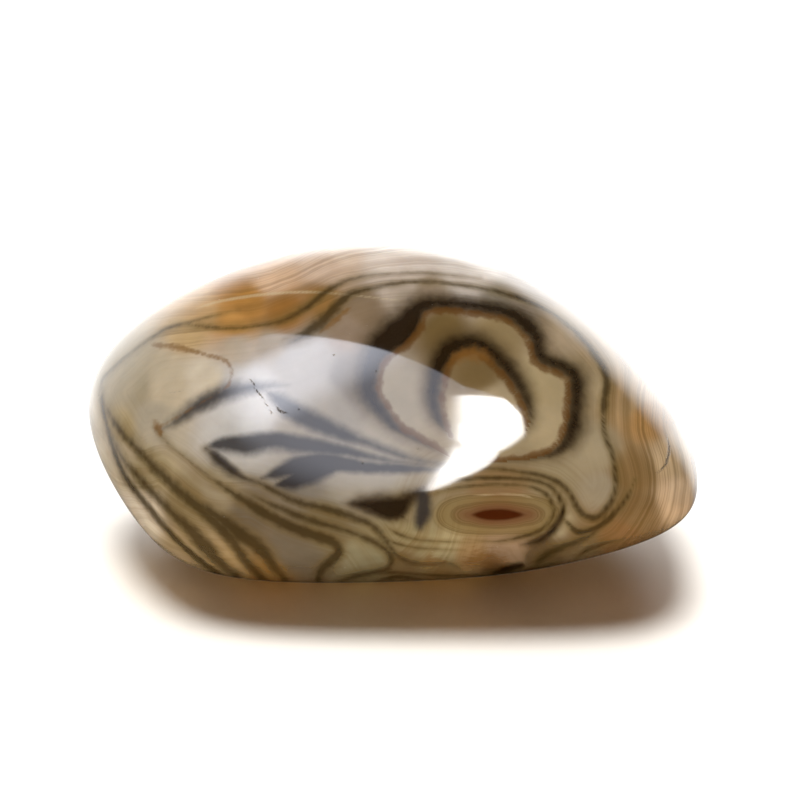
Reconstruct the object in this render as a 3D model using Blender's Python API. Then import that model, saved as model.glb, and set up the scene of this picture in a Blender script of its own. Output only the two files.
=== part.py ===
"""A polished agate pebble, lying on the small flat spot that it rests on.

The stone is one solid. A tumbled stone starts as a broken lump: a rounded body with a few flat
faces where it split. Months in the barrel then round every edge. It is built here the same way:
an egg-shaped core, and a list of the split faces, each with the way it looks and how far it lies
from the stone's heart, blended into one smooth skin. The skin is then worn flat where the stone
lies on the table.

Units are metres, +Z is up. The origin is on the table, under the middle of the stone's box.
X runs along the stone's length, towards its drooping nose, and -Y looks out of its broad face.
"""

import math
from typing import NamedTuple

import bmesh
import bpy
from mathutils import Euler, Vector

MM = 0.001

# Driving dimensions. The core sets the stone's length, depth and height, and each split face
# moves one side of it. Together they make a stone 51 mm long, 34 mm deep and 28 mm high.
CORE_HALF_LENGTH = 32.8 * MM
CORE_HALF_DEPTH = 20.9 * MM
CORE_HALF_HEIGHT = 17.7 * MM
CORE_DROOP = math.radians(11)  # how far the nose end of the core dips


class Facet(NamedTuple):
    """One split face of the lump: where it looks, and how far from the heart it lies."""

    name: str
    bearing: float  # degrees round from the broad face (-Y) towards the nose (+X)
    tilt: float  # degrees above level
    reach: float  # millimetres from the heart


FACETS = (
    Facet("front_face", -5, 23, 13.4),
    Facet("front_foot", 4, -52, 10.1),
    Facet("back_face", 182, 31, 20.7),
    Facet("crown", -20, 67, 18.8),
    Facet("nose_shoulder", 88, 40, 20.0),
    Facet("nose_keel", 85, -57, 17.4),
    Facet("heel_brow", -62, 53, 17.9),
    Facet("heel_keel", -60, -18, 21.5),
    Facet("base", 6, -99, 13.1),
)
EDGE_HARDNESS = 6.0  # higher keeps the edges between facets crisper, lower tumbles them rounder

REST_DEPTH = 11.7 * MM  # from the heart down to the table
SKIN_DETAIL = 5  # each step up makes the skin's triangles half as wide
SHORTEST_RIM_EDGE = 0.25 * MM

AGATE_COLOUR = (0.33, 0.27, 0.18, 1.0)  # the tan that the stone's bands average to
POLISH_ROUGHNESS = 0.08


def facet_normals():
    """Each facet's outward direction, divided by its reach in metres."""
    normals = []
    for facet in FACETS:
        bearing = math.radians(facet.bearing)
        tilt = math.radians(facet.tilt)
        outward = Vector(
            (
                math.sin(bearing) * math.cos(tilt),
                -math.cos(bearing) * math.cos(tilt),
                math.sin(tilt),
            )
        )
        normals.append(outward / (facet.reach * MM))
    return normals


def core_crowding(direction):
    """One over the distance from the heart to the core's skin, this way."""
    along = direction.copy()
    along.rotate(Euler((0.0, -CORE_DROOP, 0.0)))
    return math.sqrt(
        (along.x / CORE_HALF_LENGTH) ** 2
        + (along.y / CORE_HALF_DEPTH) ** 2
        + (along.z / CORE_HALF_HEIGHT) ** 2
    )


def tumbled_point(direction, normals):
    """The point of the rounded skin that lies this way from the heart.

    With an endless hardness this is where the direction first meets the core's skin or a facet.
    A finite one lets the others nearby pull the point in, which rounds the edges.
    """
    crowding = core_crowding(direction) ** EDGE_HARDNESS
    for normal in normals:
        crowding += max(0.0, direction.dot(normal)) ** EDGE_HARDNESS
    return direction * crowding ** (-1.0 / EDGE_HARDNESS)


def shape_sphere_into_pebble(skin):
    """Moves each point of a unit sphere out to the stone's skin.

    The sphere is first stretched like the core, so that more of its points go to the tight curves
    of the nose and the heel.
    """
    normals = facet_normals()
    for vertex in skin.verts:
        stretched = vertex.co * Vector((CORE_HALF_LENGTH, CORE_HALF_DEPTH, CORE_HALF_HEIGHT))
        vertex.co = tumbled_point(stretched.normalized(), normals)


def wear_flat(skin):
    """Cuts off what lies below the table and closes the hole with one flat face."""
    everything = skin.verts[:] + skin.edges[:] + skin.faces[:]
    cut = bmesh.ops.bisect_plane(
        skin,
        geom=everything,
        plane_co=(0.0, 0.0, -REST_DEPTH),
        plane_no=(0.0, 0.0, -1.0),
        clear_outer=True,
    )
    rim = [item for item in cut["geom_cut"] if isinstance(item, bmesh.types.BMVert)]
    bmesh.ops.remove_doubles(skin, verts=rim, dist=SHORTEST_RIM_EDGE)
    open_edges = [edge for edge in skin.edges if edge.is_boundary]
    bmesh.ops.holes_fill(skin, edges=open_edges, sides=0)


def stand_on_table(skin):
    """Moves the stone so that its foot is at height 0, under the middle of its box."""
    for axis in range(3):
        places = [vertex.co[axis] for vertex in skin.verts]
        origin = min(places) if axis == 2 else (min(places) + max(places)) / 2
        for vertex in skin.verts:
            vertex.co[axis] -= origin


def polished_agate():
    """The CAD model's plain stand-in for banded chalcedony: tan and glossy."""
    material = bpy.data.materials.new("polished_agate")
    material.use_nodes = True
    shader = material.node_tree.nodes["Principled BSDF"]
    shader.inputs["Base Color"].default_value = AGATE_COLOUR
    shader.inputs["Roughness"].default_value = POLISH_ROUGHNESS
    shader.inputs["Metallic"].default_value = 0.0
    return material


def build_stone():
    """The one object: a sphere shaped into the tumbled stone and worn flat underneath."""
    skin = bmesh.new()
    bmesh.ops.create_icosphere(skin, subdivisions=SKIN_DETAIL, radius=1.0)
    shape_sphere_into_pebble(skin)
    wear_flat(skin)
    stand_on_table(skin)
    bmesh.ops.recalc_face_normals(skin, faces=skin.faces)

    mesh = bpy.data.meshes.new("agate_stone")
    skin.to_mesh(mesh)
    skin.free()
    mesh.shade_smooth()
    mesh.materials.append(polished_agate())
    stone = bpy.data.objects.new("agate_stone", mesh)
    bpy.context.scene.collection.objects.link(stone)
    return stone


def clear_scene():
    for thing in list(bpy.data.objects):
        bpy.data.objects.remove(thing)


clear_scene()
build_stone()
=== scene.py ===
# %% [markdown]
# # A polished agate pebble
# The real object is a single stone: chalcedony, a quartz so fine-grained that light travels some
# millimetres into it. It grew as thin layers on the wall of a gas bubble in lava, so a cut through
# it shows nested bands that fold round each other. A lump of it was then tumbled with ever finer
# grit until it shone.
#
# The imported CAD model is loaded first. Its box fixes the size, and every length below is scaled
# to it.

# %% Load the frame
import math
from typing import NamedTuple

import bpy
import numpy as np
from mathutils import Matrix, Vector, noise


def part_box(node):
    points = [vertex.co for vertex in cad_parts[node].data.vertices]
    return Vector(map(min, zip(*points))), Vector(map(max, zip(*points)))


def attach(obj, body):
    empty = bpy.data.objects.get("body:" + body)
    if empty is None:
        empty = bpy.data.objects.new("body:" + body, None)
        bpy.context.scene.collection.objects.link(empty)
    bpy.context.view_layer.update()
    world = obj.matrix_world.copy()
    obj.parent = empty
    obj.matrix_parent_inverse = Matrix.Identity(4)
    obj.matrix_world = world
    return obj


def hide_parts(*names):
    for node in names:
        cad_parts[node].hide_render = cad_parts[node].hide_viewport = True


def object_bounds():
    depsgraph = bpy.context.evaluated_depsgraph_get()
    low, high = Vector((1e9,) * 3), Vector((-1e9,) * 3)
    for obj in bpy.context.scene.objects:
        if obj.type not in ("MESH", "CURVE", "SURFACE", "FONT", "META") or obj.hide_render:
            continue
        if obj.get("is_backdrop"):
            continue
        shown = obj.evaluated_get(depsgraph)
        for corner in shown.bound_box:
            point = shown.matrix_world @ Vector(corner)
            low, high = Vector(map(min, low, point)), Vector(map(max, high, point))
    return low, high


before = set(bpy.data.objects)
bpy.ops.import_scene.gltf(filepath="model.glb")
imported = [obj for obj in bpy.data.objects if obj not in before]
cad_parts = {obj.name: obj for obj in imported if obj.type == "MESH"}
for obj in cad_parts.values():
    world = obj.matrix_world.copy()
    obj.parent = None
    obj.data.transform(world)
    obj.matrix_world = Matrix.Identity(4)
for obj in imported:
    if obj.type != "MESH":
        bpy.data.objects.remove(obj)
cad_bounds = [list(corner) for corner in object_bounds()]
low_corner, high_corner = (Vector(corner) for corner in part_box("agate_stone"))
stone_size = high_corner - low_corner
print("stone, mm:", [round(side * 1000, 1) for side in stone_size])

# %% [markdown]
# ## Sizes
# All the lengths below are written in the stone's own millimetres, as if it were 50.8 mm long. If
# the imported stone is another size, `MM` stretches them all with it.
#
# Shapes and pattern are both measured from the stone's heart, the point that its curved skin is
# built around. It lies straight above the flat spot, `HEART_HEIGHT` over the table.

# %% Sizes and the stone's heart
DRAWN_LENGTH = 50.8
MM = stone_size.x / DRAWN_LENGTH
HEART_HEIGHT = 11.7

# %% [markdown]
# ## Camera
# A long lens, 100 mm on a full-frame sensor, keeps a small thing from looking bulged. It stands
# 20 degrees above the table and looks straight at the stone's broad face. It is made early, so that
# every later step can be looked at.

# %% Camera
LOOK_DOWN = math.radians(20)
CAMERA_DISTANCE = 182.6 * MM
LENS_MM = 100
SENSOR_MM = 36
TOWARDS_CAMERA = Vector((0, -math.cos(LOOK_DOWN), math.sin(LOOK_DOWN)))
UP_IN_VIEW = Vector((0, math.sin(LOOK_DOWN), math.cos(LOOK_DOWN)))


def add_camera(aim):
    """A camera on the broad face's side, aimed at a point."""
    lens = bpy.data.cameras.new("portrait_lens")
    lens.lens = LENS_MM
    lens.sensor_width = SENSOR_MM
    lens.clip_start = 0.005
    camera = bpy.data.objects.new("camera", lens)
    camera.location = aim + TOWARDS_CAMERA * CAMERA_DISTANCE
    camera.rotation_euler = (math.pi / 2 - LOOK_DOWN, 0, 0)
    bpy.context.scene.collection.objects.link(camera)
    bpy.context.scene.camera = camera
    return camera


print("camera distance, mm:", round(CAMERA_DISTANCE * 1000, 1))

# %% [markdown]
# ## The stone's body
# A tumbled stone starts as a broken lump: a rounded core with a few flat faces where it split. The
# barrel rounds all its edges. So the skin is one formula: an egg-shaped core and nine split faces,
# blended. It is the CAD model's formula, because both describe the same stone. Modelling it by
# sculpting would also work, but then the two would drift apart.
#
# The CAD solid has facets of 1 mm, which a mirror polish would show at once. So the formula is
# evaluated again on a much finer net. The net is a cube blown up to a sphere: its squares stay
# nearly even all over, while a globe's net of longitudes would pinch at two poles.

# %% The formula for the skin
CORE_HALF = np.array((32.8, 20.9, 17.7))  # mm from the heart: towards the nose, back and up
CORE_DROOP = math.radians(11)  # how far the core's nose hangs down
EDGE_HARDNESS = 6.0  # a higher power leaves sharper edges between the split faces
REST_BLEND = 0.05  # mm of height over which the worn foot runs out into the round


class Facet(NamedTuple):
    """A split face: degrees round from the broad face, degrees above level, mm from the heart."""

    name: str
    bearing: float
    tilt: float
    reach: float


FACETS = (
    Facet("front_face", -5, 23, 13.4),
    Facet("front_foot", 4, -52, 10.1),
    Facet("back_face", 182, 31, 20.7),
    Facet("crown", -20, 67, 18.8),
    Facet("nose_shoulder", 88, 40, 20.0),
    Facet("nose_keel", 85, -57, 17.4),
    Facet("heel_brow", -62, 53, 17.9),
    Facet("heel_keel", -60, -18, 21.5),
    Facet("base", 6, -99, 13.1),
)


def facet_normals():
    """Each split face's outward direction, divided by its reach."""
    bearing = np.radians([facet.bearing for facet in FACETS])
    tilt = np.radians([facet.tilt for facet in FACETS])
    reach = np.array([facet.reach for facet in FACETS])
    outward = np.stack(
        (np.sin(bearing) * np.cos(tilt), -np.cos(bearing) * np.cos(tilt), np.sin(tilt)), axis=1
    )
    return outward / reach[:, None]


def skin_points(directions):
    """The points of the rounded skin, in mm from the heart, that lie in these directions."""
    x, y, z = directions.T
    along = x * math.cos(CORE_DROOP) - z * math.sin(CORE_DROOP)
    above = x * math.sin(CORE_DROOP) + z * math.cos(CORE_DROOP)
    core = np.linalg.norm(np.stack((along, y, above), axis=1) / CORE_HALF, axis=1)
    faces = np.maximum(0, directions @ facet_normals().T)
    crowding = core**EDGE_HARDNESS + (faces**EDGE_HARDNESS).sum(axis=1)
    return directions * crowding[:, None] ** (-1 / EDGE_HARDNESS)


def worn_heights(heights):
    """Heights above the table with the foot worn level, run out smoothly into the round."""
    blend = (heights + REST_BLEND) ** 2 / (4 * REST_BLEND)
    worn = np.where(heights < REST_BLEND, blend, heights)
    return np.where(heights < -REST_BLEND, 0, worn)


print("split faces:", [facet.name for facet in FACETS])

# %% A fine, even net of points round a sphere
NET_CELLS = 128  # squares along each edge of the cube
SAME_POINT = 1e5  # corners that agree to one part in this many are one point


def cube_net(cells):
    """The points and squares of a cube's six sides, with the shared edges welded."""
    steps = np.tan(np.linspace(-1, 1, cells + 1) * math.pi / 4)
    across, up = np.meshgrid(steps, steps, indexing="ij")
    places, squares = [], []
    grid = np.arange((cells + 1) ** 2).reshape(cells + 1, cells + 1)
    side = np.stack((grid[:-1, :-1], grid[1:, :-1], grid[1:, 1:], grid[:-1, 1:]), axis=-1)
    for axis in range(3):
        for sign in (-1, 1):
            corner = np.empty((across.size, 3))
            corner[:, axis] = sign
            corner[:, (axis + 1) % 3] = across.ravel() * sign
            corner[:, (axis + 2) % 3] = up.ravel()
            squares.append(side.reshape(-1, 4) + len(places) * across.size)
            places.append(corner)
    places = np.concatenate(places)
    squares = np.concatenate(squares)
    _, first, welded = np.unique(
        np.round(places * SAME_POINT).astype(int), axis=0, return_index=True, return_inverse=True
    )
    return places[first], welded.reshape(-1)[squares]


def mesh_from(name, points, squares):
    """A smooth-shaded mesh object from numpy arrays of points and squares."""
    mesh = bpy.data.meshes.new(name)
    mesh.vertices.add(len(points))
    mesh.vertices.foreach_set("co", points.astype(np.float32).ravel())
    mesh.loops.add(squares.size)
    mesh.loops.foreach_set("vertex_index", squares.astype(np.int32).ravel())
    mesh.polygons.add(len(squares))
    mesh.polygons.foreach_set("loop_start", np.arange(0, squares.size, 4, dtype=np.int32))
    mesh.update(calc_edges=True)
    mesh.validate()
    mesh.shade_smooth()
    piece = bpy.data.objects.new(name, mesh)
    bpy.context.scene.collection.objects.link(piece)
    return piece


net, squares = cube_net(NET_CELLS)
stretched = net * CORE_HALF
directions = stretched / np.linalg.norm(stretched, axis=1)[:, None]
heart_skin = skin_points(directions)
skin = heart_skin.copy()
skin[:, 2] = worn_heights(skin[:, 2] + HEART_HEIGHT)
skin_middle = (skin.min(axis=0) + skin.max(axis=0)) / 2
heart = Vector((-skin_middle[0], -skin_middle[1], HEART_HEIGHT)) * MM
stone = mesh_from("polished_agate_stone", (skin - skin_middle * (1, 1, 0)) * MM, squares)
print("skin:", len(skin), "points, heart at, mm:", [round(side / MM, 2) for side in heart])

# %% Aim the camera
AIM_ABOVE = 4.43  # mm over the heart, as the camera sees it
camera = add_camera(heart + UP_IN_VIEW * AIM_ABOVE * MM)
print("camera at, mm:", [round(side * 1000, 1) for side in camera.location])

# %% [markdown]
# ## The layers, drawn as a jeweller would sketch them
# Agate grows outward in layers, and each layer is a curved sheet. The stone's broad face cuts the
# sheets nearly square on, so there they show as bands, and the same sheets run on through the
# stone and come out on its back.
#
# A pure noise texture can give bands, but not these: a great dark loop, a horseshoe inside it,
# feathers that run together beside a small eye, and long sweeps under the heel. So each band is a
# drawn line with a width, on one sheet of paper that stands in the heart and faces the broad side.
# The lines are then carried through the stone, fanning out a little from a point far in front of
# it. Where the skin turns away to the back, the paper is bent more and more by slow folds, so that
# the back isn't a mirror image of the front.
#
# Each skin point learns how deep inside a band it lies, as a number: 0 on the edge, 1 or more in
# full colour, less than 0 outside. Those numbers change smoothly, so the shader can draw a crisp
# edge between two points of the net.

# %% A sheet of paper through the stone
FOLD_SWING = 11.0  # mm that a noise of 1 would bend the paper by; it seldom passes half of that
FOLD_WIDTH = 15.0  # mm
FOLD_STARTS, FOLD_FULL = 0.0, -0.7  # how much the skin faces the broad side: 1 fully, -1 away
FAN_DISTANCE = CAMERA_DISTANCE / MM  # mm in front of the heart


def smoothstep(low, high, value):
    """0 up to one value and 1 from another, with a smooth rise between them."""
    share = np.clip((value - low) / (high - low), 0, 1)
    return share * share * (3 - 2 * share)


def slow_folds(places, seed):
    """One smooth random number for each place, mostly from -0.5 to 0.5."""
    shift = Vector((seed * 17.3, seed * 5.1, seed * 9.7))
    return np.array([noise.noise(Vector(place) / FOLD_WIDTH + shift) for place in places])


def onto_paper(places, normals):
    """Where each skin point falls on the paper: mm across, towards the nose, and mm up."""
    facing = normals @ np.array(TOWARDS_CAMERA)
    hidden = smoothstep(FOLD_STARTS, FOLD_FULL, facing)
    aim_up = np.array(UP_IN_VIEW) * AIM_ABOVE
    nearness = (places - aim_up) @ np.array(TOWARDS_CAMERA)
    fan = FAN_DISTANCE / (FAN_DISTANCE - nearness)
    across = places[:, 0] * fan
    up = ((places @ np.array(UP_IN_VIEW)) - AIM_ABOVE) * fan + AIM_ABOVE
    across = across + hidden * FOLD_SWING * slow_folds(places, 1)
    up = up + hidden * FOLD_SWING * slow_folds(places, 2)
    return np.stack((across, up), axis=1)


normals = np.empty(len(skin) * 3, dtype=np.float32)
stone.data.vertex_normals.foreach_get("vector", normals)
paper = onto_paper(heart_skin, normals.reshape(-1, 3).astype(float))
print("paper, mm:", paper.min(axis=0).round(1), "to", paper.max(axis=0).round(1))

# %% The drawn bands
class Band(NamedTuple):
    """A drawn band: its colour family, how many mm soft its left and right edges are, its route.

    Left and right are as seen walking along the route. A route point is mm across, mm up and the
    band's half width there.
    """

    name: str
    family: str
    soft_left: float
    soft_right: float
    route: tuple


BANDS = (
    Band("great_loop", "black", 0.74, 0.2, (
        (3.9, -0.3, 0), (2.3, 0.6, 0.25), (0, 1.8, 0.41), (-1.5, 3.3, 0.66), (-2.7, 5.2, 0.9),
        (-2.4, 7.6, 0.99), (-1.5, 9.1, 1.23), (0.2, 10.5, 1.31), (1.6, 12.2, 0.82),
        (3.5, 12.5, 0.66), (6.7, 12.2, 0.66), (9, 11.7, 0.7), (10.4, 10.8, 0.82),
        (11.3, 9.6, 0.74), (11.7, 8.1, 0.7), (13.4, 7.2, 0.66), (14.5, 6.3, 0.74),
        (14.5, 3.8, 0.74), (14.2, 1.8, 0.74), (13.1, 0.2, 0.49), (10.9, -0.5, 0.25),
        (8.6, -0.7, 0.16), (6.4, -0.7, 0.12))),
    Band("inner_horseshoe", "black", 0.6, 0.35, (
        (4.1, 1.3, 0.1), (3.1, 2.9, 0.5), (2.7, 4.8, 0.72), (3, 6.9, 0.78), (3.8, 8.5, 0.9),
        (5.1, 9.1, 0.8), (6.4, 9.2, 0.75), (7.6, 8.4, 0.75), (8.9, 7.1, 0.7), (9.9, 5.6, 0.62),
        (10.6, 4.1, 0.5), (10.8, 2.7, 0.3), (10.3, 1.3, 0))),
    Band("dark_wedge", "black", 0.5, 0.3, (
        (-5, -4, 0), (-3.5, -4.1, 0.5), (-1.8, -4.3, 0.9), (-0.4, -4.4, 1.05),
        (0.8, -3.6, 0.55), (2.2, -2.5, 0.15), (3.5, -2, 0))),
    Band("wedge_root", "black", 0.35, 0.35, ((0.4, -5.4, 0.15), (0, -4.4, 0.5), (0.3, -3.3, 0.25))),
    Band("stub", "smoke", 0.3, 0.3, ((1.9, -3.5, 0.41), (1.9, -4.8, 0.49), (1.6, -5.9, 0.25))),
    Band("ridge_patch", "olive", 0.33, 0.33, (
        (-9.4, 8.9, 0.08), (-8, 9.7, 0.33), (-6.9, 10.5, 0.49), (-5.6, 11.6, 0.41),
        (-4.5, 12.5, 0.16))),
    Band("low_patch", "black", 0.16, 0.16, (
        (7.6, -9.8, 0.16), (8.6, -9.5, 0.33), (9.9, -9.2, 0.25), (10.4, -9, 0))),
    Band("right_low_band", "olive", 0.25, 0.25, (
        (11.3, -8.9, 0.25), (12.2, -8.2, 0.35), (13.8, -7.5, 0.28), (15.6, -6.7, 0.2),
        (17.1, -5.6, 0.15), (18.1, -4.4, 0.1))),
    Band("eye_hem", "black", 0.25, 0.25, (
        (9.9, -7.5, 0.08), (11.2, -7.2, 0.25), (12.3, -6.5, 0.32), (13.1, -5.4, 0.28),
        (13.4, -4.2, 0.18), (12.7, -3.1, 0.1))),
    Band("feather_top", "smoke", 0.49, 0.41, (
        (-19.9, 1.9, 0), (-18.7, 2.5, 0.22), (-17.3, 3.5, 0.38), (-15.4, 4.6, 0.5),
        (-13.2, 5.3, 0.42), (-10.7, 5.6, 0.2), (-9, 5.7, 0))),
    Band("feather_1", "smoke", 0.41, 0.33, (
        (-11.3, 5.4, 0), (-10.2, 4.6, 0.35), (-8.8, 3.5, 0.6), (-7.2, 2.7, 0.58), (-4.9, 1.7, 0.41),
        (-2.6, 0.9, 0.25), (0, -0.1, 0.21), (2.6, -0.7, 0.12), (5.7, -0.9, 0.08))),
    Band("feather_2", "smoke", 0.25, 0.41, (
        (-15.9, 0.5, 0.08), (-14.6, 0.8, 0.41), (-12.7, 0.8, 0.66), (-10.2, 1.1, 0.58),
        (-7.7, 0.7, 0.58), (-5.3, 0.4, 0.41), (-2.8, -0.2, 0.25), (0, -0.7, 0.16),
        (3.3, -1, 0.08))),
    Band("feather_3", "smoke", 0.25, 0.25, (
        (-11.3, -2, 0.08), (-9.9, -1.5, 0.38), (-8.4, -1, 0.7), (-6.7, -0.8, 0.78),
        (-4.9, -0.8, 0.58), (-2.6, -1.1, 0.38), (0, -1.2, 0.28), (4.1, -1.3, 0.08))),
    Band("feather_3_core", "smoke", 0.16, 0.33, (
        (-10.2, -2.6, 0.08), (-9, -2.3, 0.45), (-7.7, -1.8, 0.6), (-6.2, -1.4, 0.45),
        (-4.9, -1.1, 0.08))),
    Band("cup", "smoke", 0.25, 0.49, (
        (-15.9, 0.4, 0.08), (-15.1, -0.3, 0.33), (-14.1, -1.2, 0.33), (-12.9, -2, 0.16),
        (-11.8, -2.4, 0))),
    Band("outer_line", "olive", 0.25, 0.16, (
        (-9.6, 9.4, 0), (-7.3, 10.3, 0.25), (-6.1, 11.3, 0.33), (-4.8, 12.6, 0.33),
        (-3.6, 13.3, 0.21), (-2, 13.7, 0.16), (0.1, 14.1, 0.16), (2.1, 14.2, 0.16),
        (4.1, 14, 0.16), (6.2, 13.7, 0.16), (8.2, 13.3, 0.18), (10.4, 12.6, 0.21),
        (12.2, 11.8, 0.16), (13.6, 10.8, 0.16), (14.6, 9.9, 0.21), (15.7, 8.6, 0.25),
        (16.6, 7.2, 0.29), (17, 6, 0.29), (16.8, 4.4, 0.29), (16.7, 2.8, 0.21),
        (16.9, 1.4, 0.21), (17.5, -0.1, 0.21), (17.7, -1.6, 0.21), (17.7, -3, 0.21),
        (17.1, -4.3, 0.25), (16.2, -5.2, 0.25), (15.3, -5.1, 0.25), (14.6, -4.4, 0.25),
        (14, -3.3, 0.21), (13.1, -2.4, 0.21), (11.7, -1.8, 0.21), (9.9, -1.5, 0.16),
        (7.4, -1.2, 0.16), (4.9, -1.3, 0.12))),
    Band("crest_line_a", "olive", 0.25, 0.25, (
        (-18.9, 10.8, 0), (-16.3, 10.5, 0.16), (-13.7, 10.3, 0.16), (-11.2, 10.6, 0.16),
        (-9.5, 11, 0.21), (-8.2, 11.7, 0.25), (-7.3, 12.3, 0.25), (-6.4, 13.1, 0.25),
        (-5.1, 13.9, 0.21), (-3.5, 14.5, 0.16), (-1.2, 14.8, 0.12), (1.6, 14.9, 0.12),
        (4.1, 14.7, 0.08), (6.6, 14.4, 0))),
    Band("crest_line_b", "olive", 0.12, 0.25, (
        (-24.7, 4.8, 0.08), (-24.4, 6.1, 0.12), (-23.8, 6.8, 0.12), (-22.6, 7.9, 0.12),
        (-21.3, 8.9, 0.12), (-20.1, 9.7, 0.13), (-19.1, 10.3, 0.15), (-17.3, 10.8, 0.12),
        (-15.4, 11.3, 0.1), (-13.2, 11.9, 0))),
    Band("left_skin", "olive", 0.16, 0.16, (
        (-24.3, 5.7, 0), (-24.5, 4.4, 0.16), (-24.1, 2.4, 0.16), (-23.5, 0.3, 0.21),
        (-22.5, -2, 0.25), (-20.8, -4.2, 0.25), (-18.7, -6.7, 0.25), (-16.5, -8.7, 0.25),
        (-14.6, -10.1, 0.25))),
    Band("sweep_1", "olive", 0.33, 0.33, (
        (-24.6, 5.1, 0), (-24.1, 2.4, 0.16), (-23.2, 0.3, 0.25), (-22, -1.3, 0.29),
        (-20.5, -3, 0.33), (-18.7, -4.8, 0.33), (-17.3, -6.2, 0.49), (-16, -7.6, 0.66),
        (-14.7, -9, 0.41), (-13.3, -10.1, 0.33))),
    Band("sweep_2", "olive", 0.41, 0.25, (
        (-24.6, 5, 0), (-23.8, 3.2, 0.21), (-22.9, 1.9, 0.29), (-21.5, 0.3, 0.33),
        (-19.9, -1.4, 0.41), (-18.4, -2.8, 0.41), (-16.8, -4.2, 0.45), (-15.1, -5.7, 0.49),
        (-13.8, -7.1, 0.49), (-12.7, -8.7, 0.41), (-11.1, -10.4, 0.33))),
    Band("sweep_3", "olive", 0.33, 0.33, (
        (-20.5, -0.9, 0), (-19.2, -2.1, 0.25), (-17.8, -3.5, 0.33), (-16.2, -4.4, 0.41),
        (-14.5, -5.5, 0.49), (-13.1, -6.6, 0.58), (-11.8, -7.5, 0.58), (-10.9, -8.5, 0.49),
        (-10.3, -9.4, 0.37), (-9.3, -10.4, 0.29))),
    Band("sweep_4", "olive", 0.25, 0.25, (
        (-20, 2.1, 0.12), (-19.1, 0.9, 0.1), (-17.5, -0.4, 0.12), (-15.5, -2, 0.16),
        (-13.9, -3.1, 0.25), (-12.1, -4.3, 0.37), (-10.4, -5.3, 0.41), (-8.2, -6.3, 0.45),
        (-6.4, -6.9, 0.45), (-5.3, -7.4, 0.41), (-5.1, -8.2, 0.41), (-5.9, -9, 0.41),
        (-6.5, -9.6, 0.33), (-6.7, -10.4, 0.25))),
    Band("sweep_5", "olive", 0.25, 0.25, (
        (-15.9, 0.4, 0.16), (-14.6, -0.8, 0.16), (-13.2, -1.8, 0.16), (-11.5, -2.4, 0.21),
        (-10.1, -3.2, 0.25), (-8.2, -4, 0.29), (-6.1, -4.5, 0.29), (-4.1, -5.1, 0.29),
        (-2.4, -5.8, 0.25), (-1.3, -6.9, 0.25), (-0.5, -8.1, 0.21), (0.5, -8.8, 0.21),
        (2.1, -9.1, 0.16), (3.7, -9, 0.16), (4.7, -9.3, 0.12), (5, -9.9, 0))),
    Band("sweep_6", "olive", 0.25, 0.25, (
        (-13.2, -2.8, 0), (-11.3, -3.8, 0.16), (-9.5, -4.6, 0.25), (-7.8, -5.3, 0.29),
        (-6.2, -5.8, 0.25), (-4.4, -6.3, 0.21), (-2.7, -7, 0.25), (-1.4, -7.7, 0.25),
        (-0.7, -8.6, 0.25), (-1.2, -9.5, 0.25), (-3.5, -10, 0.25), (-5, -10.5, 0.16))),
    Band("bottom_line_a", "olive", 0.16, 0.16, (
        (-4.1, -10.1, 0.08), (-1.9, -9.7, 0.16), (0.4, -9.8, 0.12), (2.9, -10, 0.12),
        (5.3, -10, 0.12), (8, -10, 0.16), (10.7, -9.5, 0.16), (13.1, -8.9, 0.08))),
    Band("bottom_line_b", "olive", 0.16, 0.16, (
        (-2.1, -10.5, 0.08), (0, -10.1, 0.16), (2.5, -10.4, 0.08), (5.7, -10.4, 0.08))),
    Band("flow_a", "olive", 0.16, 0.16, (
        (-1.6, -6.3, 0), (-0.7, -7.2, 0.12), (0.7, -7.6, 0.1), (2.5, -7.8, 0.08), (5.3, -7.9, 0))),
    Band("flow_b", "olive", 0.16, 0.16, (
        (-1.3, -5.8, 0), (-0.3, -6.5, 0.12), (1.2, -7, 0.11), (3.3, -7.2, 0.08), (6.6, -7.3, 0))),
    Band("eye_ring_a", "olive", 0.16, 0.16, (
        (3, -2.7, 0), (4.5, -2.2, 0.12), (6.6, -2, 0.16), (9, -2, 0.16), (11.1, -2.2, 0.16),
        (12.5, -2.8, 0.16), (13.2, -3.8, 0.16), (13.4, -4.8, 0.16))),
    Band("eye_ring_b", "olive", 0.16, 0.16, (
        (2.3, -3.5, 0), (3.9, -2.9, 0.1), (6.2, -2.6, 0.12), (8.6, -2.5, 0.12), (10.7, -2.7, 0.12),
        (12, -3.3, 0.16), (12.6, -4.4, 0.16), (12.4, -5.3, 0.16), (11.6, -6.2, 0.16),
        (10, -6.8, 0.16), (7.8, -7.2, 0.08), (5.3, -7, 0))),
    Band("hook", "olive", 0.16, 0.16, (
        (13.5, -5.4, 0.08), (14.1, -6, 0.21), (14.6, -6.4, 0.25), (15.6, -6.3, 0.25),
        (16.6, -5.8, 0.25), (17.7, -4.8, 0.21), (18.7, -3.5, 0.16), (19.3, -2.1, 0.08))),
    Band("knot", "olive", 0.16, 0.16, (
        (14, -9, 0.05), (15.2, -8, 0.15), (16.4, -7.5, 0.15), (17.4, -7.2, 0.1),
        (18.5, -7, 0))),
    Band("left_rust", "rust", 0.16, 0.16, (
        (-20.4, 8.9, 0.1), (-19.3, 8.9, 0.2), (-18.1, 8.7, 0.24), (-16.8, 8.4, 0.17),
        (-15.5, 8, 0.16), (-14.3, 7.6, 0.16), (-13.8, 6.8, 0.12), (-14, 5.9, 0.12),
        (-14.6, 5.2, 0.08), (-16, 4.4, 0.08), (-17.7, 3.4, 0.08), (-19.1, 2.6, 0.11),
        (-19.9, 2, 0.16))),
    Band("rust_tip", "rust", 0.25, 0.25, ((-20.1, 2.5, 0.25), (-19.7, 1.8, 0.25))),
    Band("horseshoe_rust", "rust", 0.49, 0.49, (
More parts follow.
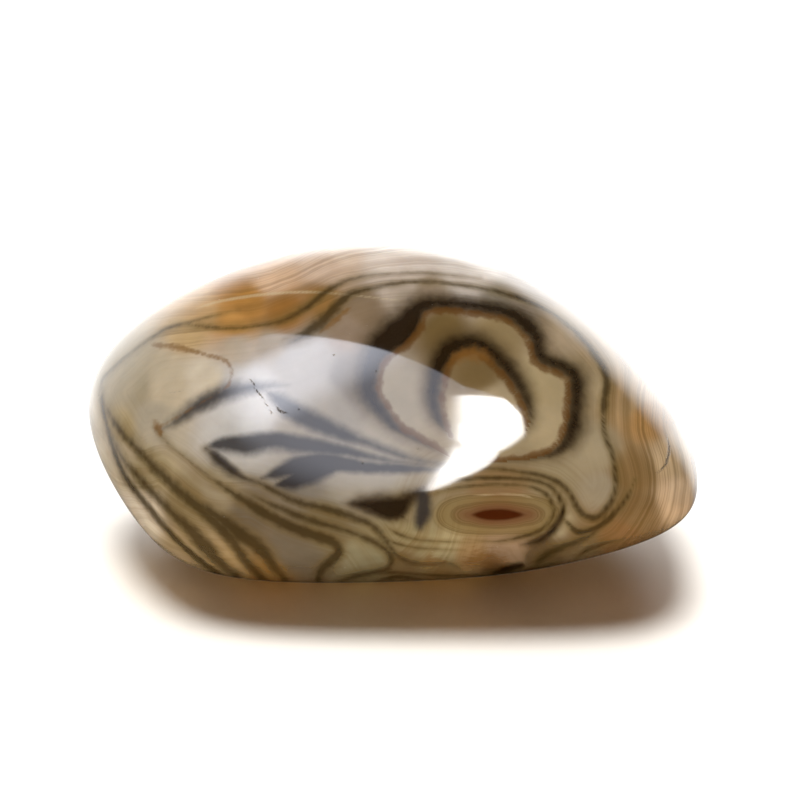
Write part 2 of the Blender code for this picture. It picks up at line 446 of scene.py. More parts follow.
        (3.8, 7.1, 0.2), (4.8, 7.8, 0.4), (5.9, 8.2, 0.5), (7.1, 7.9, 0.4), (7.7, 7.2, 0.1))),
    Band("ochre_left", "rust", 0.41, 0.41, (
        (1.3, -9.2, 0.08), (2.5, -8.8, 0.33), (3.6, -8.9, 0.25))),
    Band("ochre_mid", "rust", 0.66, 0.49, (
        (5.1, -9, 0.25), (6.4, -8.7, 0.66), (8.2, -8.7, 0.49), (9.2, -8.9, 0.16))),
    Band("wedge_rust", "rust", 0.16, 0.16, (
        (-6.7, 9.9, 0.08), (-5.8, 10.6, 0.16), (-4.5, 11.7, 0.16), (-3.6, 12.4, 0))),
    Band("healed_line", "pale", 0.08, 0.13, (
        (-17.6, 11.6, 0), (-16, 12.2, 0.08), (-14, 12.7, 0.11), (-11.2, 13.1, 0.11),
        (-7.8, 13.3, 0.1), (-4.5, 13.1, 0.08), (0, 12.6, 0.07))),
    Band("eye_outline", "pale", 0.12, 0.12, (
        (5.1, -3.5, 0), (6.6, -3.4, 0.08), (8.6, -3.3, 0.08), (10.5, -3.5, 0.08), (11.5, -4.1, 0))),
    Band("crack", "crack", 0.08, 0.08, (
        (-12.7, 6.8, 0), (-12.3, 6.3, 0.04), (-11.8, 5.3, 0.05), (-11.1, 4.3, 0.04),
        (-10.4, 3.2, 0.03), (-10.1, 3, 0))),
    Band("chip", "crack", 0.08, 0.08, (
        (-10.2, 3.9, 0.03), (-9.8, 3.5, 0.06), (-9.3, 3.3, 0.04), (-9, 3.1, 0))),
    Band("right_scratch", "crack", 0.08, 0.08, (
        (21.9, 1.7, 0), (22.1, 0.7, 0.07), (22, -0.4, 0.08), (21.5, -1.3, 0.07), (20.5, -1.8, 0))),
    Band("faint_scratch", "crack", 0.08, 0.08, (
        (-19.2, 5, 0), (-18.4, 5.1, 0.03), (-17.4, 5.3, 0))),
)
print("bands drawn:", len(BANDS))

# %% [markdown]
# ## From routes to depths
# Each route is first rounded into a smooth curve of closely spaced points. A skin point's depth is
# then the band's half width, less its distance from the nearest curve point, divided by how soft
# the edge is on that side. A hair-thin line is narrower than its own soft edge, so it is given less
# depth, which leaves it pale as well as thin.
#
# Iron has also seeped along the inner side of the two darkest layers. That rusty fringe is a narrow
# band of its own, just past the right-hand edge of their routes.

# %% Smooth routes and distances from them
ROUTE_STEP = 0.12  # mm between a curve's points
NO_LENGTH = 1e-9  # keeps a division from meeting a zero


def smooth_route(points, closed=False):
    """Points every ROUTE_STEP mm or so on a smooth curve through the route's points."""
    points = np.array(points, dtype=float)
    if closed:
        padded = np.concatenate((points[-1:], points, points[:2]))
    else:
        padded = np.concatenate((points[:1], points, points[-1:]))
    stretches = []
    for before, start, end, after in zip(padded, padded[1:], padded[2:], padded[3:]):
        count = max(2, int(np.hypot(*(end - start)[:2]) / ROUTE_STEP))
        share = np.arange(count)[:, None] / count
        stretches.append(
            0.5
            * (
                2 * start
                + (end - before) * share
                + (2 * before - 5 * start + 4 * end - after) * share**2
                + (3 * start - before - 3 * end + after) * share**3
            )
        )
    if not closed:
        stretches.append(points[-1:])
    return np.concatenate(stretches)


def beside_route(places, curve):
    """For each place: the distance to the curve, the side it is on, and the nearest point's row.

    The side is 1 square on the left and -1 square on the right, and in between past the ends.
    """
    squared = (
        (places**2).sum(axis=1)[:, None]
        + (curve[:, :2] ** 2).sum(axis=1)
        - 2 * places @ curve[:, :2].T
    )
    row = squared.argmin(axis=1)
    heading = np.gradient(curve[:, :2], axis=0)
    heading /= np.maximum(np.linalg.norm(heading, axis=1), NO_LENGTH)[:, None]
    offset = places - curve[row, :2]
    ahead = (offset * heading[row]).sum(axis=1)
    leftward = heading[row, 0] * offset[:, 1] - heading[row, 1] * offset[:, 0]
    straight = np.linalg.norm(offset, axis=1)
    square_on = np.abs(ahead) < ROUTE_STEP
    distance = np.where(square_on, np.abs(leftward), straight)
    past_end = leftward / np.maximum(straight, NO_LENGTH)
    side = np.where(square_on, np.sign(leftward), past_end)
    return distance, side, row


def near_rows(places, curve, margin):
    """Rows of the places that lie within a margin of the curve's box."""
    low = curve[:, :2].min(axis=0) - margin
    high = curve[:, :2].max(axis=0) + margin
    return np.nonzero(((places > low) & (places < high)).all(axis=1))[0]


print("curve points in the great loop:", len(smooth_route(BANDS[0].route)))

# %% How deep each skin point lies in a band
FAMILIES = ("black", "smoke", "olive", "rust", "pale", "crack", "fringe")
OUTSIDE = -16.0  # the depth of a point that is far from every band
REACH = 2.5  # mm past a band's widest half within which depths are worked out
THINNEST = 0.05  # mm
FRINGED = ("great_loop", "inner_horseshoe")
FRINGE_AWAY = 0.1  # mm from the dark edge to the fringe's middle
FRINGE_HALF = 0.26  # mm
FRINGE_SOFT = 0.2  # mm
depths = {family: np.full(len(paper), OUTSIDE) for family in FAMILIES}
for band in BANDS:
    curve = smooth_route(band.route)
    rows = near_rows(paper, curve, curve[:, 2].max() + REACH)
    distance, side, nearest = beside_route(paper[rows], curve)
    half = np.maximum(curve[nearest, 2], 0)
    # From -1 at the right edge to 1 at the left, so the softness changes smoothly across the band.
    lean = side * np.minimum(distance / np.maximum(half, THINNEST), 1)
    soft = band.soft_right + (band.soft_left - band.soft_right) * (lean + 1) / 2
    half = np.where(half < soft, 2 * half - soft, half)
    depth = np.maximum(depths[band.family][rows], (half - distance) / soft)
    depths[band.family][rows] = depth
    if band.name in FRINGED:
        edge = np.abs(distance - half - FRINGE_AWAY)
        fringe = np.where(side < 0, (FRINGE_HALF - edge) / FRINGE_SOFT, OUTSIDE)
        depths["fringe"][rows] = np.maximum(depths["fringe"][rows], fringe)
print("points in each family:", {family: int((depths[family] > 0).sum()) for family in FAMILIES})

# %% [markdown]
# ## Fine growth lines
# Between the drawn bands, the outer layers show dozens of hair-thin lines, all parallel to the
# cavity's wall. One number does all of them: each point's distance from the wall. The shader reads
# it as the position along a row of irregular stripes. The eye is a second, small centre with its
# own rings, so it has its own distance.

# %% Distances from the cavity's wall and from the eye
CAVITY_WALL = (
    (-24.4, 5.0), (-22.6, 7.6), (-20.1, 9.4), (-15.5, 10.0), (-11.0, 10.5),
    (-7.5, 11.8), (-4.1, 13.3), (0.1, 14.0), (4.1, 13.9), (8.2, 13.2), (12.2, 11.7), (14.6, 9.8),
    (16.8, 7.1), (16.8, 4.6), (16.9, 1.4), (17.7, -1.6), (17.6, -3.2), (16.3, -5.1), (15.0, -5.1),
    (14.0, -3.3), (11.7, -1.8), (7.4, -1.2), (3.3, -1.6), (2.0, -3.8), (1.2, -6.7), (-0.5, -8.1),
    (-2.4, -5.8), (-4.1, -5.2), (-8.2, -4.1), (-11.5, -2.4), (-15.5, -2.0), (-19.1, 0.8),
    (-21.8, 0.6),
)
WALL_CHUNKS = 20  # the skin is handled in this many parts, to save memory
EVERY_WALL_POINT = 4  # one in this many is enough to tell inside from outside
EYE_CENTRES = ((5.8, -5.0), (10.3, -5.0))  # the ends of its long middle, mm across and up
EYE_SQUASH = 1.8  # how much flatter than round its rings are
EYE_POINTED = 0.9  # mm that its two ends are drawn in, which makes it a lens
EYE_POINTED_REACH = 3.0  # mm from the middle, where the rings are round ended again


def inside_outline(places, curve):
    """True inside a closed curve: a line to the right crosses it an odd number of times."""
    inside = np.zeros(len(places), dtype=bool)
    for (x1, y1), (x2, y2) in zip(curve, np.roll(curve, -1, axis=0)):
        if y1 == y2:
            continue
        beside = (places[:, 1] > min(y1, y2)) & (places[:, 1] <= max(y1, y2))
        crossing = x1 + (places[:, 1] - y1) * (x2 - x1) / (y2 - y1)
        inside ^= beside & (places[:, 0] < crossing)
    return inside


wall = smooth_route(CAVITY_WALL, closed=True)
wall_distance = np.concatenate(
    [beside_route(chunk, wall)[0] for chunk in np.array_split(paper, WALL_CHUNKS)]
)
wall_distance[inside_outline(paper, wall[::EVERY_WALL_POINT])] *= -1

(left_end, eye_up), (right_end, _) = EYE_CENTRES
beyond = paper[:, 0] - np.clip(paper[:, 0], left_end, right_end)
eye_distance = np.hypot(beyond, (paper[:, 1] - eye_up) * EYE_SQUASH)
along_eye = np.clip((2 * paper[:, 0] - left_end - right_end) / (right_end - left_end), -1, 1)
eye_distance += EYE_POINTED * along_eye**2 * np.clip(1 - eye_distance / EYE_POINTED_REACH, 0, 1)
print("wall distance, mm:", wall_distance.min().round(1), "to", wall_distance.max().round(1))

# %% [markdown]
# ## Ground colour
# Under the bands the stone drifts from smoky grey-white in the middle to straw, amber and peach at
# its skin, where iron soaked in. It is painted like a watercolour: a few dabs of colour on the same
# paper, each fading into its neighbours. A dab also says how strongly fine growth lines show there.

# %% Dabs of ground colour
class Dab(NamedTuple):
    """A dab of colour: mm across, mm up, its reach in mm, its colour, and how lined it is."""

    across: float
    up: float
    reach: float
    colour: str
    lined: float


DABS = [Dab(*row) for row in (
    (-22, 5.5, 2.5, "A09276", 0.12), (-19.5, 5.5, 2.1, "BBAB90", 0.08),
    (-16, 6, 1.6, "C6B8A2", 0.05), (-20.5, 3, 2.1, "A39884", 0.08), (-23, 2.5, 1.8, "A8956C", 0.25),
    (-17.5, 10, 1.3, "BC9C68", 0.5), (-13.5, 10.7, 1.8, "C0862E", 0.45),
    (-9.5, 11.7, 2, "905E0C", 0.45), (-12.5, 12.3, 2, "A8721C", 0.5),
    (-10.5, 8.8, 1.6, "9A8A74", 0.1), (-13.3, 8.9, 1.7, "AC9C88", 0.1),
    (-16.5, 11.5, 1.5, "C29A62", 0.4), (-6.5, 12.7, 1.7, "8E6222", 0.5),
    (-10.5, 14.5, 1.8, "D6B08C", 0.6), (-6, 15.5, 2.1, "CDB097", 0.6),
    (0, 15.5, 2.5, "E6D6CA", 0.65), (5.5, 15, 2.5, "E2D6CC", 0.55),
    (10.5, 13.5, 2.1, "A69684", 0.7), (-5, 16.5, 1.6, "DCC3AC", 0.5), (-3, 12, 1.8, "7E6950", 0.1),
    (-4.5, 10, 1.8, "8A7662", 0.05), (0, 13.3, 1.5, "A39382", 0.3), (2.5, 13, 2, "9B8770", 0.15),
    (8, 12.5, 1.6, "968C7C", 0.15), (13, 10, 1.8, "A89274", 0.1), (15.5, 5.5, 1.8, "A38E69", 0.08),
    (16, 0.5, 2, "97886B", 0.05), (16.5, -3, 1.5, "958870", 0.1), (-8, 7.5, 3, "9A948F", 0.03),
    (-12.5, 4.5, 3, "B8B5B5", 0.03), (-6.5, 3.8, 2.6, "958E86", 0.03),
    (-4.3, 6.5, 2, "6E655A", 0.03), (-1, 5, 2.1, "968C7C", 0.03), (-8, 2, 2.5, "948C82", 0.03),
    (-13, 2, 2.1, "B2B0AE", 0.03), (-3.5, -2, 2.1, "968F84", 0.03), (-8, -2, 1.6, "766F66", 0.05),
    (3.5, 10.5, 2.1, "665026", 0.03), (8, 10, 2.1, "857049", 0.03), (12, 5.5, 2.1, "9A8863", 0.03),
    (12.5, 2.5, 2.1, "9F8E6C", 0.03), (8, 1, 2.1, "8F7F60", 0.05), (6.5, 6.5, 1.8, "6B5630", 0.03),
    (7.5, 4, 2, "A08F70", 0.03), (18.5, 4.5, 2, "A58557", 1), (20.5, 3, 2.1, "AA7C3C", 1),
    (22.5, -0.5, 2.1, "C6A87E", 0.9), (19.5, -1.5, 2.1, "806337", 1),
    (19.5, -4.5, 2.1, "7C623B", 1), (23, -3.5, 2, "DEBE98", 0.8), (17.5, 9, 2, "B0946C", 0.9),
    (21, 5.5, 2, "C4A583", 0.8), (24, 1, 2, "D0B797", 0.6), (18, -7, 2, "846034", 0.9),
    (15, -7.5, 1.6, "7A6648", 0.6), (11.5, -8.5, 1.6, "5E4C32", 0.5),
    (-24, -0.5, 1.8, "D2C4A8", 0.3), (-21.5, -5, 1.8, "EADECA", 0.35),
    (-17.5, -8.5, 2, "AA9672", 0.4), (-15, -10, 1.8, "AE9468", 0.3),
    (-20.5, -1.5, 1.6, "A29370", 0.5), (-17.5, -4, 1.8, "887856", 0.5),
    (-15, -3, 1.6, "91846A", 0.35), (-12.5, -5, 1.6, "665B4A", 0.35), (-9, -8, 2.1, "6A6050", 0.15),
    (-10.5, -10, 1.6, "A07636", 0.2), (-6, -6, 1.6, "706850", 0.5), (-2, -8.5, 2, "868064", 0.3),
    (1.5, -6.5, 2, "8C8260", 0.5), (3.5, -8, 2, "9E936E", 0.45), (1.5, -5, 1.6, "85785B", 0.2),
    (0, -9.5, 1.8, "756244", 0.5), (5.5, -8.5, 1.6, "987C52", 0.3), (9, -8, 1.8, "947C62", 0.2),
    (3.5, -10, 1.6, "7E643A", 0.4), (8, -10, 1.6, "4C3A22", 0.4), (8, -2.5, 1.6, "866B48", 0.5),
    (3.5, -2, 1.6, "85765A", 0.4), (13, -2.5, 1.5, "8C7E60", 0.4), (8, -4, 1.2, "7A4222", 0.2),
    (13, -5.5, 1.3, "9A8E70", 0.3),
)]


def linear(hex_colour):
    """An sRGB hex colour as the linear numbers that Blender works in."""
    parts = [int(hex_colour[place : place + 2], 16) / 255 for place in (0, 2, 4)]
    return [part / 12.92 if part <= 0.04045 else ((part + 0.055) / 1.055) ** 2.4 for part in parts]


DAB_CORE = 0.05  # how flat the middle of a dab is
DAB_FALL = 2.5  # how fast its colour falls away
ground = np.zeros((len(paper), 4))
total = np.zeros(len(paper))
for dab in DABS:
    away = ((paper - (dab.across, dab.up)) ** 2).sum(axis=1) / dab.reach**2
    weight = 1 / (away + DAB_CORE) ** DAB_FALL
    ground += weight[:, None] * np.array((*linear(dab.colour), dab.lined))
    total += weight
ground /= total[:, None]
print("dabs:", len(DABS), "mean ground:", ground.mean(axis=0).round(2))

# %% Hand the numbers to the mesh
def store(name, values):
    """Keeps one number for each point of the stone's net."""
    layer = stone.data.attributes.new(name, "FLOAT", "POINT")
    layer.data.foreach_set("value", values.astype(np.float32))


for family in FAMILIES:
    store("in_" + family, depths[family])
store("wall_distance", wall_distance)
store("eye_distance", eye_distance)
ground_layer = stone.data.attributes.new("ground", "FLOAT_COLOR", "POINT")
ground_layer.data.foreach_set("color", ground.astype(np.float32).ravel())
print("layers on the mesh:", sorted(layer.name for layer in stone.data.attributes))

# %% [markdown]
# ## Polished chalcedony
# Chalcedony is fine-grained quartz with an index of about 1.54. Polished with ever finer powder
# its roughness is near a mirror's, yet under the gloss it is milky: light goes in, scatters over a
# few millimetres, and comes out again. A Principled BSDF with some subsurface gives both. Its pits
# and hairline scratches are dull, because the polishing powder never reached their floors.

# %% One helper for nodes
def add(tree, kind, sockets=None, give=0, **settings):
    """Adds a shader node and gives one of its outputs.

    `sockets` maps an input to a value, or to another node's output that is linked in. `settings`
    are the node's own properties.
    """
    made = tree.nodes.new("ShaderNode" + kind)
    for name, value in settings.items():
        setattr(made, name, value)
    for name, value in (sockets or {}).items():
        if isinstance(value, bpy.types.NodeSocket):
            tree.links.new(value, made.inputs[name])
        else:
            made.inputs[name].default_value = value
    return made.outputs[give]


# %% The chalcedony's gloss and milkiness
chalcedony = bpy.data.materials.new("polished_chalcedony")
chalcedony.use_nodes = True
tree = chalcedony.node_tree
shader = tree.nodes["Principled BSDF"]
shader.inputs["IOR"].default_value = 1.54
shader.inputs["Subsurface Weight"].default_value = 0.2
shader.inputs["Subsurface Radius"].default_value = (1.0, 0.62, 0.32)
shader.inputs["Subsurface Scale"].default_value = 1.2 * MM

place_mm = add(
    tree,
    "VectorMath",
    {0: add(tree, "TexCoord", give="Object"), "Scale": 1 / MM},
    operation="SCALE",
)
print("index of", chalcedony.name, "is", round(shader.inputs["IOR"].default_value, 2))

# %% [markdown]
# ## Edges and lines that look grown
# A layer's edge is never even, because quartz crystals push it in and out. So every number that
# makes an edge or a stripe is first nudged by fine noise.
#
# The growth lines are noise of one dimension, read at the distance from the wall or from the eye.
# Lines of uneven width and strength that all run parallel are what slow growth makes. A wave
# texture would space them too evenly.

# %% Nudged distances and growth lines
NOISE_SPAN = {"From Min": 0.25, "From Max": 0.75}  # nearly all of a noise texture's values
LINE_SPAN = {"From Min": 0.44, "From Max": 0.68}  # where a growth line starts and is full


def nudged(number, blotch_mm, amount):
    """The number, pushed up and down by noise whose blotches are about this wide."""
    blotches = add(tree, "TexNoise", {"Vector": place_mm, "Scale": 1 / blotch_mm, "Detail": 3.0})
    push = add(
        tree, "MapRange", {"Value": blotches, **NOISE_SPAN, "To Min": -amount, "To Max": amount}
    )
    return add(tree, "Math", {0: number, 1: push}, operation="ADD")


def growth_lines(distance, per_mm, strength):
    """How much of an uneven set of parallel lines shows, from 0 to the strength."""
    levels = add(
        tree,
        "TexNoise",
        {"W": distance, "Scale": per_mm, "Detail": 2.0, "Roughness": 0.6},
        noise_dimensions="1D",
    )
    share = add(tree, "MapRange", {"Value": levels, **LINE_SPAN}, interpolation_type="SMOOTHSTEP")
    return add(tree, "Math", {0: share, 1: strength}, operation="MULTIPLY")


# %% The dabs, mottled, under growth lines
CLOUD_MM = 2.6
DARKEST, LIGHTEST = 0.68, 0.86  # how much of a dab's brightness the clouds leave
WASHED = 0.9  # how much of its colour is left
dabbed = add(tree, "Attribute", give="Color", attribute_name="ground")
lined = dabbed.node.outputs["Alpha"]
cloud = add(tree, "TexNoise", {"Vector": place_mm, "Scale": 1 / CLOUD_MM, "Detail": 8.0})
brightness = add(
    tree, "MapRange", {"Value": cloud, **NOISE_SPAN, "To Min": DARKEST, "To Max": LIGHTEST}
)
mottled = add(tree, "HueSaturation", {"Color": dabbed, "Saturation": WASHED, "Value": brightness})

GROWTH_SETS = (  # colour, lines per mm, strength
    ("6A5232", 0.9, 0.45),
    ("57411F", 2.4, 0.5),
    ("4A3719", 5.0, 0.25),
)
wall_away = add(tree, "Attribute", give="Fac", attribute_name="wall_distance")
from_wall = nudged(wall_away, blotch_mm=4.0, amount=0.14)
coats = []
for hex_colour, per_mm, strength in GROWTH_SETS:
    lines = growth_lines(from_wall, per_mm, strength)
    shown = add(tree, "Math", {0: lines, 1: lined}, operation="MULTIPLY")
    coats.append((hex_colour, shown))
print("sets of growth lines:", len(coats))

# %% [markdown]
# ## The eye
# The eye is a spot where the layers closed round a small centre of their own. It has an olive
# outer zone, a red-brown inner one with fine rings, and a dark rusty core. Each zone is a coat of
# colour that fades in at a smaller distance from the eye than the one before.

# %% The eye's zones and rings
eye_away = add(tree, "Attribute", give="Fac", attribute_name="eye_distance")
from_eye = nudged(eye_away, blotch_mm=1.5, amount=0.06)


def within_eye(faint, full, strength):
    """How much of a coat shows that fades in from one distance from the eye to a smaller one."""
    return add(
        tree,
        "MapRange",
        {"Value": from_eye, "From Min": faint, "From Max": full, "To Max": strength},
        interpolation_type="SMOOTHSTEP",
    )


rings = growth_lines(from_eye, per_mm=2.4, strength=0.55)
ringed = within_eye(faint=3.4, full=2.6, strength=1.0)
rings_shown = add(tree, "Math", {0: rings, 1: ringed}, operation="MULTIPLY")
coats.append(("6C5C3A", within_eye(faint=3.5, full=2.5, strength=0.75)))
coats.append(("5A3826", within_eye(faint=2.3, full=1.0, strength=0.7)))
coats.append(("463619", rings_shown))
coats.append(("381504", within_eye(faint=1.1, full=0.55, strength=0.95)))
print("coats so far:", len(coats))

# %% [markdown]
# ## The drawn bands as coats of colour
# Each family of bands is laid on as a coat. A coat starts at one depth and is full at another, and
# a start well below 0 lets it bleed past the band's edge. The black and the olive are laid on
# twice: first thin and wide, as the smoky halo that every dark layer has in milky stone, then full.

# %% Coats for the drawn bands
class Coat(NamedTuple):
    """A coat's band family, colour, strength, the depths it starts and is full at, and its edge.

    The edge is pushed in and out by blotches this many mm wide, by this much depth.
    """

    family: str
    colour: str
    strength: float
    start: float
    full: float
    blotch_mm: float
    push: float


BAND_COATS = (
    Coat("pale", "B9AC8C", 0.45, -1.0, 1.0, 0.9, 0.2),
    Coat("black", "43351F", 0.75, -1.9, 0.9, 1.6, 0.3),
    Coat("olive", "5C4C2B", 0.5, -2.8, 0.2, 1.2, 0.4),
    Coat("smoke", "222024", 0.9, -1.9, 0.9, 0.9, 0.3),
    Coat("olive", "2E230E", 0.8, -0.9, 1.2, 0.7, 0.4),
    Coat("black", "190F06", 0.93, -0.7, 1.6, 0.7, 0.3),
    Coat("fringe", "4E310E", 0.75, -0.9, 1.0, 0.8, 0.9),
    Coat("rust", "674720", 0.65, -1.0, 1.0, 0.6, 0.8),
    Coat("crack", "1C1611", 0.85, -1.0, 1.0, 0.15, 1.1),
)
band_shown = {}
for coat in BAND_COATS:
    depth = add(tree, "Attribute", give="Fac", attribute_name="in_" + coat.family)
    shown = add(
        tree,
        "MapRange",
        {
            "Value": nudged(depth, coat.blotch_mm, coat.push),
            "From Min": coat.start,
            "From Max": coat.full,
            "To Max": coat.strength,
        },
        interpolation_type="SMOOTHSTEP",
    )
    coats.append((coat.colour, shown))
    band_shown[coat.family] = shown

painted = mottled
for hex_colour, shown in coats:
    cover = (*linear(hex_colour), 1)
    painted = add(tree, "Mix", {0: shown, 6: painted, 7: cover}, give=2, data_type="RGBA")
tree.links.new(painted, shader.inputs["Base Color"])
print("coats of colour:", len(coats))

# %% [markdown]
# ## Polish, pits and scratches
# Tumbling leaves a polish that is nearly a mirror, a little better here than there. Pits of about
# a seventh of a millimetre are left where a grain broke out. They lie at random, one to every few
# square millimetres, which is what the cells of a Voronoi texture give. Pits and scratches are both
# dull and hollow.

# %% Roughness and dents
PIT_SPACING = 2.0  # mm
PIT_HALF = 0.07  # mm
PIT_FLOOR = 0.4  # how much of a pit's half width is its floor
PIT_DEPTH = 0.05  # mm
DENT_STRENGTH = 0.8
BUFFED_MM = 5.0
BEST_POLISH, WORST_POLISH = 0.03, 0.06
DULLNESS = 0.5  # what a pit or a scratch adds to the roughness
pit_away = add(
    tree,
    "TexVoronoi",
    {"Vector": place_mm, "Scale": 1 / PIT_SPACING, "Randomness": 1.0},
    give="Distance",
)
pits = add(
    tree,
    "MapRange",
    {
        "Value": pit_away,
        "From Min": PIT_HALF / PIT_SPACING,
        "From Max": PIT_FLOOR * PIT_HALF / PIT_SPACING,
    },
    interpolation_type="SMOOTHSTEP",
)
dull = add(tree, "Math", {0: pits, 1: band_shown["crack"]}, operation="MAXIMUM")
buffed = add(tree, "TexNoise", {"Vector": place_mm, "Scale": 1 / BUFFED_MM, "Detail": 2.0})
polish = add(
    tree, "MapRange", {"Value": buffed, **NOISE_SPAN, "To Min": BEST_POLISH, "To Max": WORST_POLISH}
)
roughness = add(tree, "Math", {0: dull, 1: DULLNESS, 2: polish}, operation="MULTIPLY_ADD")
tree.links.new(roughness, shader.inputs["Roughness"])
hollow = add(tree, "Math", {0: dull, 1: -1.0}, operation="MULTIPLY")
dented = add(
    tree, "Bump", {"Height": hollow, "Distance": PIT_DEPTH * MM, "Strength": DENT_STRENGTH}
)
tree.links.new(dented, shader.inputs["Normal"])
stone.data.materials.append(chalcedony)
print("chalcedony:", len(tree.nodes), "nodes")

# %% [markdown]
# ## Table
# The stone lies on matt white paper. Paper scatters light evenly and has no visible grain at this
# distance, so it gets a high roughness and hardly any gloss. It is hidden from glossy rays: under a
# stone this shiny it would show as a pale veil on the belly, where its own shadow should be.

# %% The table
TABLE_SIZE = 4.0  # metres
bpy.ops.mesh.primitive_plane_add(size=TABLE_SIZE)
table = bpy.context.object
table.name = "white_paper"
table.visible_glossy = False
paper_stock = bpy.data.materials.new("matt_white_paper")
paper_stock.use_nodes = True
paper_shader = paper_stock.node_tree.nodes["Principled BSDF"]
paper_shader.inputs["Base Color"].default_value = (*linear("F1F0EE"), 1)
paper_shader.inputs["Roughness"].default_value = 0.9
paper_shader.inputs["Specular IOR Level"].default_value = 0.1
table.data.materials.append(paper_stock)
print("table, m:", TABLE_SIZE, "of", paper_stock.name)

# %% [markdown]
# ## Lamps
# One wide lamp high over the front gives the short, soft shadow under the stone's belly, and a
# weaker one fills from behind. Two more lamps stand in for light that would take hours to trace:
#
# - White paper throws much light back up into a milky stone, which keeps its belly from going dark.
#   A very wide lamp from below does that. The paper would block it, so it lights only the stone.
# - Some of the first lamp's light goes through the stone and leaves it amber. An amber lamp from
#   the same side does that. It lights only the paper, and the stone doesn't block it. The paper is
#   already white in full light, so the amber shows only inside the shadow.

# %% Lamps
def towards(bearing, height):
    """A direction from degrees round from the broad face, towards the nose, and degrees up."""
    bearing, height = math.radians(bearing), math.radians(height)
    level = math.cos(height)
    return Vector((math.sin(bearing) * level, -math.cos(bearing) * level, math.sin(height)))


def add_lamp(name, direction, power, width, tint):
    """A far lamp: power in watts per square metre, width in degrees of sky."""
    lamp = bpy.data.lights.new(name, "SUN")
    lamp.energy = power
    lamp.angle = math.radians(width)
    lamp.color = linear(tint)
    holder = bpy.data.objects.new(name, lamp)
    holder.rotation_euler = direction.to_track_quat("Z", "Y").to_euler()
    holder.visible_glossy = False
    bpy.context.scene.collection.objects.link(holder)
    return holder


def light_only(lamp, name, piece):
    """Lets a lamp light one piece and be blocked by nothing else."""
    alone = bpy.data.collections.new(name)
    alone.objects.link(piece)
    lamp.light_linking.receiver_collection = alone
    lamp.light_linking.blocker_collection = alone


over_the_front = towards(-15, 76)
add_lamp("lamp_over_the_front", over_the_front, 3.8, 26, "FFFDF8")
add_lamp("fill_from_behind", towards(170, 50), 1.2, 40, "FFFFFF")
glow_from_below = add_lamp("glow_from_below", towards(-10, -35), 2.4, 90, "FFE4BE")
through_stone = add_lamp("light_through_the_stone", over_the_front, 0.22, 26, "F0A028")
light_only(glow_from_below, "stone_alone", stone)
light_only(through_stone, "paper_alone", table)
print("lamps:", [lamp.name for lamp in bpy.data.lights])

# %% [markdown]
# ## The dome that the polish mirrors
# A glossy stone shows what stands round it more than it shows its own shade. So the stone stands in
# a dome that only glossy rays see, while everything else is lit by an even, soft white. The dome
# holds a long low backdrop behind, which whitens the stone's rim, and a large pale screen at the
# front left that glows most in its middle. At the screen's near edge, straight in front of the
# stone, is a bright lamp in three joined parts: a broad head, a neck and a thin tail that runs
# down to the horizon.
#
# The dome is drawn from directions, not built from panels. A screen is the part of the sky on the
# inner side of a few straight edges. An edge runs between two directions, and has its own softness.
# The camera sees none of this, only plain white past the table's far edge.

# %% Screens on the dome
world = bpy.data.worlds.new("studio")
bpy.context.scene.world = world
world.use_nodes = True
dome = world.node_tree
dome.nodes.clear()
sky_direction = add(dome, "TexCoord", give="Generated")


def screen(edges, glow):
    """A glowing patch of sky on the inner side of every edge.

    An edge is the direction inwards, how far along it the glow starts, and how soft it is.
    """
    patch = glow
    for inwards, start, softness in edges:
        offset = add(
            dome,
            "VectorMath",
            {0: sky_direction, 1: inwards},
            give="Value",
            operation="DOT_PRODUCT",
        )
        side = add(
            dome,
            "MapRange",
            {"Value": offset, "From Min": start, "From Max": start + softness},
            interpolation_type="SMOOTHSTEP",
        )
        patch = add(dome, "Math", {0: patch, 1: side}, operation="MULTIPLY")
    return patch


def between(corners):
    """The edges of a patch whose corners go anticlockwise, as seen from outside the dome.

    A corner is its bearing, its height, and how soft the edge to the next corner is.
    """
    edges = []
    for (bearing, height, softness), following in zip(corners, corners[1:] + corners[:1]):
        inwards = towards(bearing, height).cross(towards(*following[:2])).normalized()
        edges.append((inwards, 0.0, softness))
    return tuple(edges)


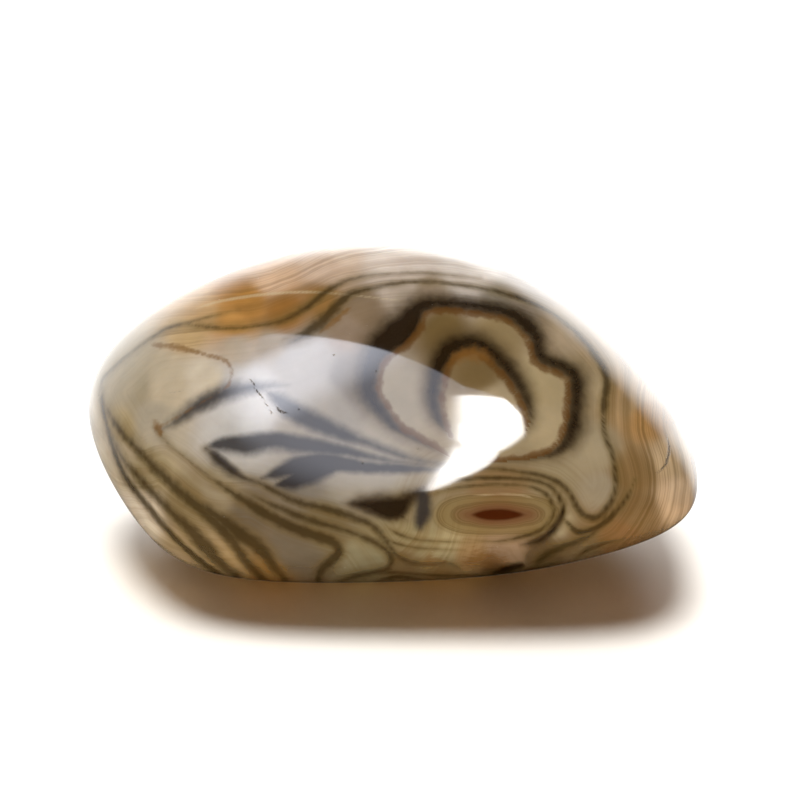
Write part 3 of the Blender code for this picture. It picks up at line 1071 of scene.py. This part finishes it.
# %% What hangs on the dome
FRONT_SCREEN = between(
    ((-5.5, 0, 0.02), (-3.2, 22, 0.015), (0, 45.5, 0.015), (-123, 50.5, 0.05), (-126, 42, 0.2))
)
SCREEN_CORNER = between(((-3, 24, 0.02), (15, 44, 0.015), (-2, 46, 0.02)))
SCREEN_MIDDLE = FRONT_SCREEN + ((towards(-58, 52), 0.89, 0.09),)
LAMP_HEAD = between(
    ((0.8, 28, 0.015), (8.6, 35.5, 0.015), (12.3, 41.5, 0.02), (10.3, 45.8, 0.02),
     (-4.9, 41.4, 0.055), (-6.6, 29, 0.02))
)
LAMP_NECK = between(
    ((-3.9, 15, 0.01), (0.8, 28.6, 0.01), (-1.5, 34, 0.01), (-4.4, 33.5, 0.02), (-6.4, 20, 0.01))
)
LAMP_TAIL = between(
    ((-4.8, -8, 0.006), (-4, 15.3, 0.006), (-3.3, 20.5, 0.01), (-5.2, 31, 0.01), (-6.5, 20, 0.008),
     (-6.3, 12, 0.006))
)
BACKDROP = (((0, 0, -1), -0.5, 0.3), ((0, 0, 1), -0.5, 0.3), ((-0.15, 0.99, 0), 0.58, 0.36))

hung = (  # edges, glow, tint
    (FRONT_SCREEN, 3.0, "E6EDFF"),
    (SCREEN_CORNER, 3.0, "E6EDFF"),
    (SCREEN_MIDDLE, 6.0, "EEF2FF"),
    (LAMP_HEAD, 22.0, "FFFFFF"),
    (LAMP_NECK, 22.0, "FFFFFF"),
    (LAMP_TAIL, 22.0, "FFFFFF"),
    (BACKDROP, 2.2, "FFFFFF"),
)
sky = (0, 0, 0)
for edges, glow, tint in hung:
    patch = screen(edges, glow)
    lit = add(dome, "VectorMath", {0: linear(tint), "Scale": patch}, operation="SCALE")
    sky = add(dome, "VectorMath", {0: sky, 1: lit}, operation="ADD")
print("patches on the dome:", len(hung))

# %% Glossy rays see the dome, the camera plain white, and everything else the soft light
SOFT_LIGHT = 0.09
mirrored = add(dome, "Background", {"Color": sky})
soft = add(dome, "Background", {"Color": (1, 1, 1, 1), "Strength": SOFT_LIGHT})
beyond_table = add(dome, "Background", {"Color": (1, 1, 1, 1)})
glossy_ray = add(dome, "LightPath", give="Is Glossy Ray")
camera_ray = glossy_ray.node.outputs["Is Camera Ray"]
around = add(dome, "MixShader", {0: glossy_ray, 1: soft, 2: mirrored})
whole = add(dome, "MixShader", {0: camera_ray, 1: around, 2: beyond_table})
dome.links.new(whole, dome.nodes.new("ShaderNodeOutputWorld").inputs["Surface"])
bpy.context.scene.view_settings.view_transform = "Standard"
print("dome:", len(dome.nodes), "nodes")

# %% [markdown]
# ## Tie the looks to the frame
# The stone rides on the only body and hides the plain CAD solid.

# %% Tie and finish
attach(stone, "root")
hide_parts("agate_stone")
table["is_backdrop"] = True
visual_bounds = [list(corner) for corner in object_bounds()]
for name, corners in (("CAD", cad_bounds), ("visual", visual_bounds)):
    print(name, "box, mm:", [[round(side * 1000, 2) for side in corner] for corner in corners])
